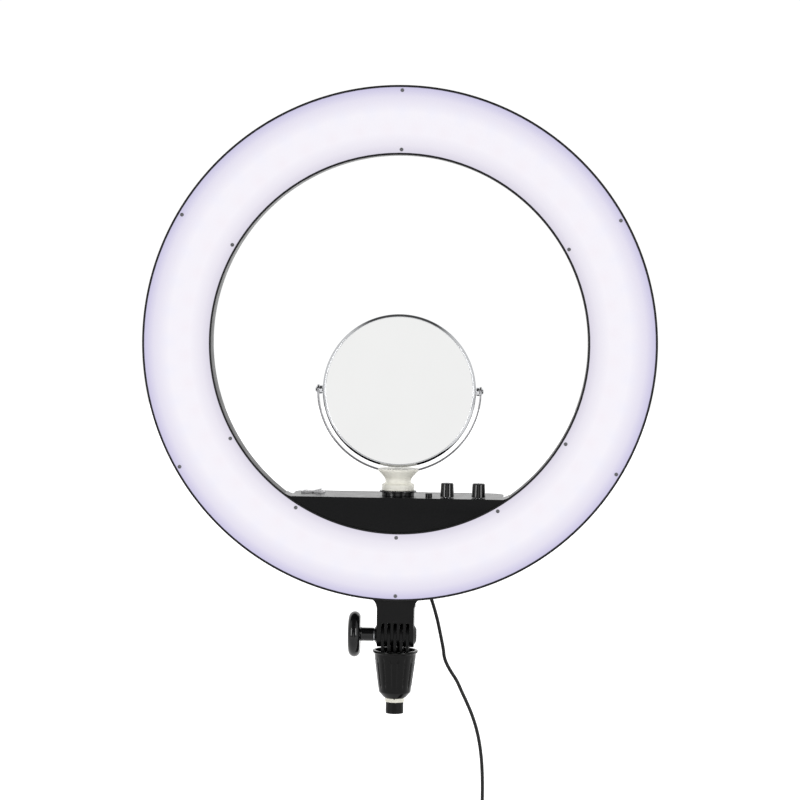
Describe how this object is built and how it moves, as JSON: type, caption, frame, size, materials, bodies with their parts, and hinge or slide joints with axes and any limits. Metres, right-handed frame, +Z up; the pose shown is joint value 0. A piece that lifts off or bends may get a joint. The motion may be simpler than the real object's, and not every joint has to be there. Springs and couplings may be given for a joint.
{
  "type": "ring light",
  "caption": "Ring light head with opal diffuser, control panel, two-sided mirror on a swivel yoke, tilt joint, twist-lock collar and corded adapter.",
  "frame": {"origin": "centre of the free lower end of the stand tube", "axes": "+Z up along the stand tube, -Y the way the light faces, +X to the right when facing the light"},
  "size_m": [0.4599, 0.0751, 0.8108],
  "materials": {
    "tube_paint": "satin powder coat",
    "plug_nylon": "matt",
    "joint_black": "satin",
    "collet_nylon": "satin",
    "collar_gloss": "gloss",
    "screw_steel": "satin",
    "screw_dark": "blackened",
    "knob_gloss": "gloss",
    "housing_black": "satin",
    "diffuser_opal": "opal, lit from behind",
    "board_white": "satin",
    "lamp_cool": "lit",
    "lamp_warm": "lit",
    "wire_red": "satin",
    "box_gloss": "satin front, gloss top",
    "cover_black": "satin",
    "circuit_green": "satin",
    "parts_dark": "satin",
    "switch_black": "satin",
    "rocker_smoke": "gloss",
    "switch_smoke": "gloss",
    "pot_metal": "satin",
    "shaft_metal": "satin",
    "foot_gloss": "gloss",
    "pedestal_cream": "satin gloss",
    "chrome": "polished",
    "core_dark": "matt",
    "mirror_flat": "polished",
    "mirror_dished": "polished",
    "cord_rubber": "satin",
    "moulded_black": "satin",
    "blade_brass": "bright"
  },
  "bodies": {
    "stand": {"stand_tube": "tube_paint", "tube_plug": "plug_nylon"},
    "base": {"knuckle": "joint_black", "collet": "collet_nylon", "cord": "cord_rubber", "cord_coil": "cord_rubber", "cord_tail": "cord_rubber", "coil_tie": "moulded_black", "adapter_case": "moulded_black", "adapter_relief": "moulded_black", "adapter_blades": "blade_brass"},
    "clamp_collar": {"collar": "collar_gloss"},
    "head": {"tilt_bracket": "joint_black", "bracket_screws": "screw_dark", "tilt_nut": "screw_steel", "ring_housing": "housing_black", "diffuser": "diffuser_opal", "diffuser_screws": "screw_dark", "led_board": "board_white", "cool_leds": "lamp_cool", "warm_leds": "lamp_warm", "board_screws": "screw_steel", "led_wires": "wire_red", "control_box": "box_gloss", "box_screws": "screw_dark", "box_cover": "cover_black", "cover_screws": "screw_dark", "driver_board": "circuit_green", "driver_parts": "parts_dark", "driver_screws": "screw_steel", "switch_frame": "switch_smoke", "brightness_pot": "pot_metal", "colour_pot": "pot_metal", "button_switch": "switch_black", "mirror_foot": "foot_gloss", "foot_screw": "screw_steel", "dc_jack": "switch_black", "dc_plug": "moulded_black", "plug_relief": "moulded_black"},
    "tilt_clamp": {"tilt_knob": "knob_gloss", "tilt_bolt": "screw_steel", "knob_washer": "screw_steel"},
    "rocker": {"power_rocker": "rocker_smoke"},
    "brightness": {"brightness_shaft": "shaft_metal", "brightness_knob": "knob_gloss"},
    "colour": {"colour_shaft": "shaft_metal", "colour_knob": "knob_gloss"},
    "button": {"push_button": "knob_gloss"},
    "mirror_stand": {"mirror_pedestal": "pedestal_cream", "mirror_yoke": "chrome", "pivot_pins": "chrome"},
    "mirror": {"mirror_rim": "chrome", "mirror_core": "core_dark", "mirror_glass": "mirror_flat", "magnifying_glass": "mirror_dished"}
  },
  "joints": [
    {"name": "stand_pan", "type": "hinge", "parent": "stand", "child": "base", "pos_m": [0, 0, 0], "axis": [0, 0, 1], "continuous": true},
    {"name": "collar_twist", "type": "hinge", "parent": "base", "child": "clamp_collar", "pos_m": [0, 0, 0], "axis": [0, 0, 1], "range_deg": [0, 270]},
    {"name": "head_tilt", "type": "hinge", "parent": "base", "child": "head", "pos_m": [0, 0, 0.0708], "axis": [1, 0, 0], "range_deg": [-90, 90], "deforming": ["cord"]},
    {"name": "clamp_knob_turn", "type": "hinge", "parent": "head", "child": "tilt_clamp", "pos_m": [0, 0, 0.0708], "axis": [1, 0, 0], "range_deg": [0, 720]},
    {"name": "power_rocker_tip", "type": "hinge", "parent": "head", "child": "rocker", "pos_m": [-0.078, 0.03, 0.1956], "axis": [0, 1, 0], "range_deg": [0, 19]},
    {"name": "brightness_turn", "type": "hinge", "parent": "head", "child": "brightness", "pos_m": [0.0445, 0.0015, 0.1956], "axis": [0, 0, 1], "range_deg": [-270, 30]},
    {"name": "colour_turn", "type": "hinge", "parent": "head", "child": "colour", "pos_m": [0.0727, 0.0015, 0.1956], "axis": [0, 0, 1], "range_deg": [-150, 150]},
    {"name": "button_press", "type": "slide", "parent": "head", "child": "button", "axis": [0, 0, -1], "range_m": [0, 0.0006], "stiffness_N_per_m": 400, "springref_m": -0.0003},
    {"name": "mirror_swivel", "type": "hinge", "parent": "head", "child": "mirror_stand", "pos_m": [0, 0.011, 0.1956], "axis": [0, 0, 1], "continuous": true},
    {"name": "mirror_flip", "type": "hinge", "parent": "mirror_stand", "child": "mirror", "pos_m": [0, 0.011, 0.2904], "axis": [1, 0, 0], "continuous": true}
  ]
}
